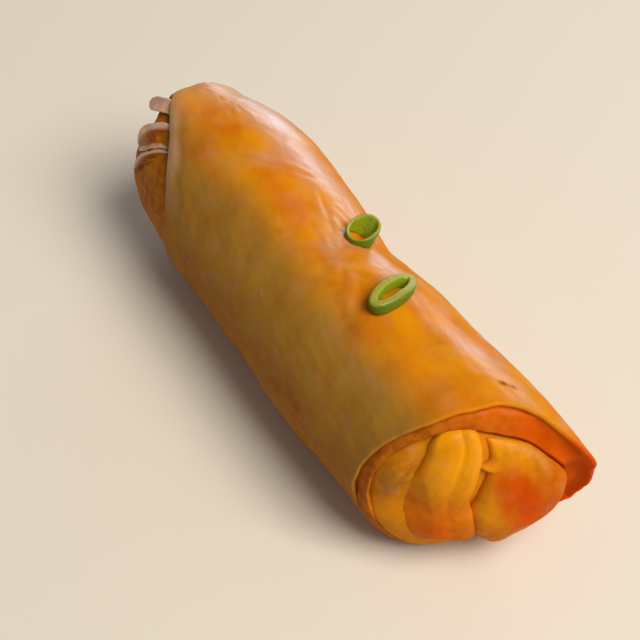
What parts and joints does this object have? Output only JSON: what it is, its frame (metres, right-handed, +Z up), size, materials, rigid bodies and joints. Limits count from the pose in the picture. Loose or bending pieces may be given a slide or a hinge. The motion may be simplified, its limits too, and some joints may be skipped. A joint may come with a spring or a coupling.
{
  "type": "fried spring roll",
  "caption": "Fried spring roll with a tucked end, open layered far end and slices of green onion lying on its top, built from a photo.",
  "frame": {"origin": "on the resting plane, under the middle of the whole length and width", "axes": "+X along the roll towards its tucked near end, +Z up"},
  "size_m": [0.1465, 0.0478, 0.0482],
  "materials": {
    "dough": "golden-brown fried dough, slightly oily",
    "leaf": "fresh green onion, moist"
  },
  "bodies": {
    "root": {"spring_roll": "dough", "scallion_ring_1": "leaf", "scallion_ring_2": "leaf"}
  },
  "joints": []
}
